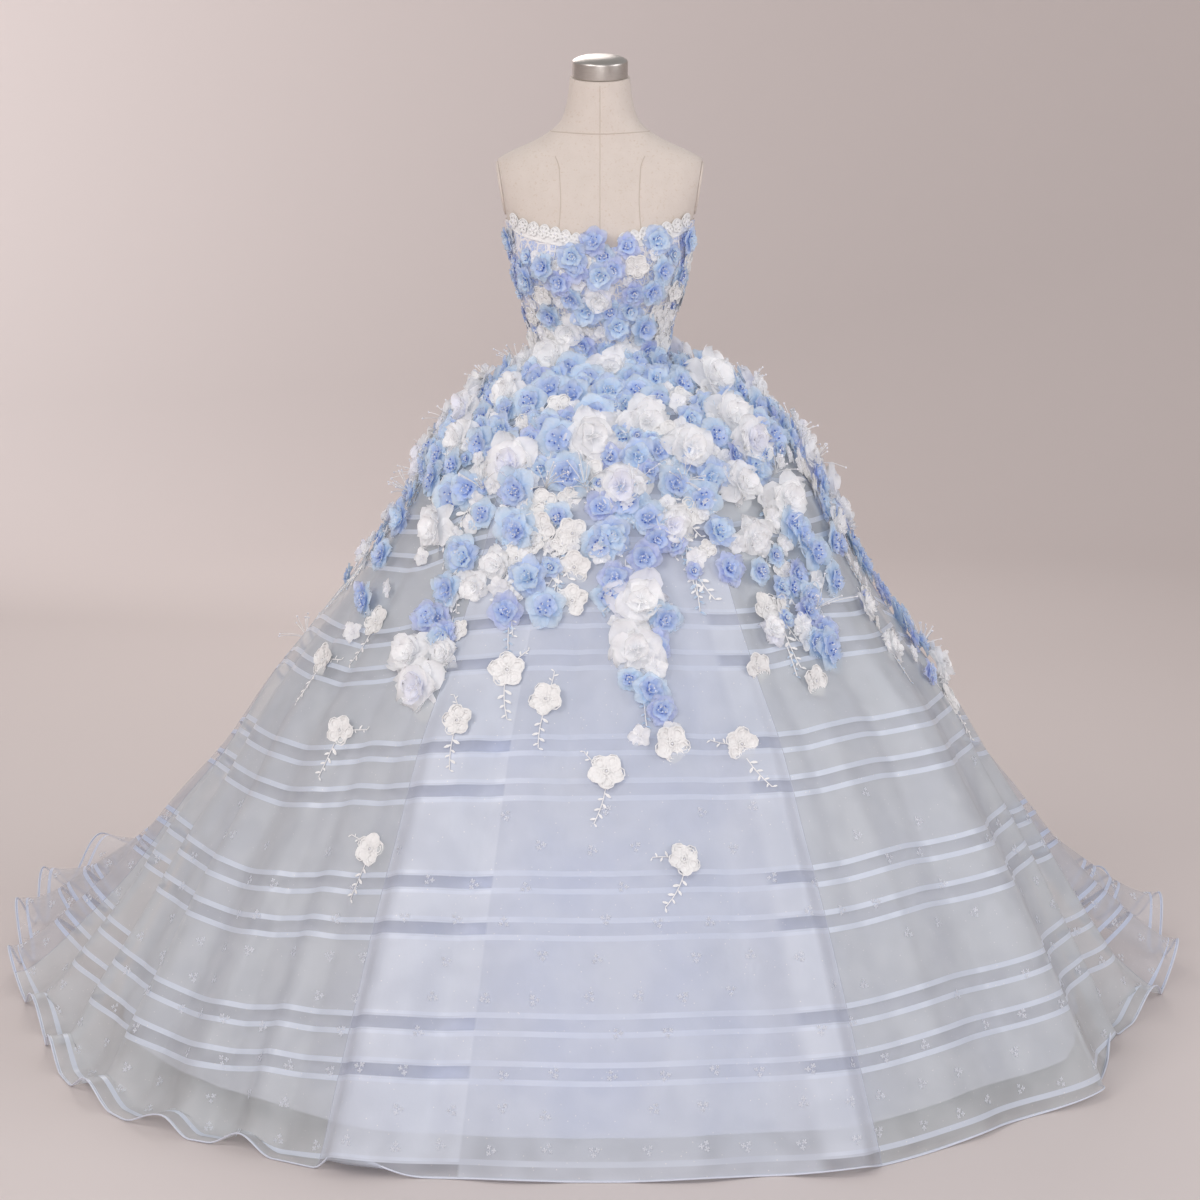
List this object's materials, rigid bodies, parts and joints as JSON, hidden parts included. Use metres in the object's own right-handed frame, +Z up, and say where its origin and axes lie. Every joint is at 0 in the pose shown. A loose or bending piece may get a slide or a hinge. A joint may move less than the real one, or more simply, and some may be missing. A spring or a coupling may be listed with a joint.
{
  "type": "ball gown on dress form",
  "caption": "Strapless ball gown with a bell skirt, a train and raised flowers, on a limbless padded dress form with a round base.",
  "frame": {"origin": "on the floor, at the centre of the dress form's round base, on the pole's axis", "axes": "+Z is up; -Y is the way the gown faces; +X is the wearer's left; the train lies towards +Y"},
  "size_m": [2.2122, 2.516, 1.6522],
  "materials": {
    "form_linen": "beige linen, plain weave, stretched over padding",
    "steel": "brushed",
    "iron": "black powder coat",
    "bodice_cloth": "boned satin under pale blue and ivory lace",
    "lace": "ivory corded lace",
    "organza": "sheer silk organza with satin stripes",
    "underskirt_cloth": "soft tulle over satin",
    "flower_cloth": "cut organza and satin petals"
  },
  "bodies": {
    "root": {"form_torso": "form_linen", "arm_plate_left": "form_linen", "arm_plate_right": "form_linen", "neck_cap": "steel", "form_pole": "steel", "form_base": "iron", "bodice_front": "bodice_cloth", "bodice_side_front_left": "bodice_cloth", "bodice_side_front_right": "bodice_cloth", "bodice_side_back_left": "bodice_cloth", "bodice_side_back_right": "bodice_cloth", "bodice_back_left": "bodice_cloth", "bodice_back_right": "bodice_cloth", "neckline_lace_left": "lace", "neckline_lace_right": "lace", "skirt_front": "organza", "skirt_side_left": "organza", "skirt_side_right": "organza", "train_left": "organza", "train_right": "organza", "underskirt_front": "underskirt_cloth", "underskirt_left": "underskirt_cloth", "underskirt_back": "underskirt_cloth", "underskirt_right": "underskirt_cloth", "bodice_flowers": "flower_cloth", "waist_flowers_front": "flower_cloth", "waist_flowers_left": "flower_cloth", "waist_flowers_back": "flower_cloth", "waist_flowers_right": "flower_cloth", "spray_front_centre": "flower_cloth", "spray_front_right_1": "flower_cloth", "spray_front_right_2": "flower_cloth", "spray_side_right_1": "flower_cloth", "spray_side_right_2": "flower_cloth", "spray_side_right_3": "flower_cloth", "spray_front_left_1": "flower_cloth", "spray_front_left_2": "flower_cloth", "spray_side_left_1": "flower_cloth", "spray_side_left_2": "flower_cloth", "spray_back_left": "flower_cloth", "spray_back_centre": "flower_cloth", "spray_back_right": "flower_cloth"}
  },
  "joints": []
}
